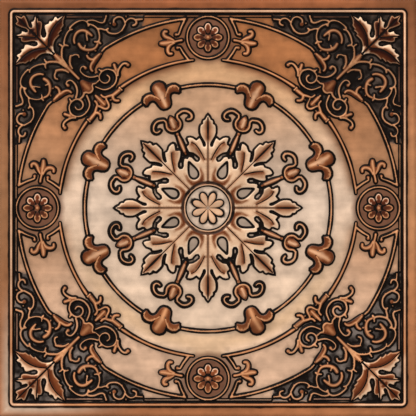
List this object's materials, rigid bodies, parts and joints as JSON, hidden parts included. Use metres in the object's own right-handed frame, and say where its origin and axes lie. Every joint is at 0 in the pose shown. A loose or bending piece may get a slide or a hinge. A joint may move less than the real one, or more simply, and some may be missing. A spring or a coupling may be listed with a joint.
{
  "type": "pvc ceiling tile",
  "caption": "Square formed PVC ceiling tile in antique copper, with a beaded frame, ring beads, a leaf medallion, side rosettes and scrolled leaf corners",
  "frame": {"origin": "Middle of the tile's back, in the plane that the flat flange lies on", "axes": "+Z out of the decorated face, +X and +Y along the tile's edges"},
  "size_m": [0.61, 0.61, 0.0056],
  "materials": {
    "copper_film": "antique copper film with black patina in the recesses, on white PVC"
  },
  "bodies": {
    "root": {"ceiling_tile": "copper_film"}
  },
  "joints": []
}
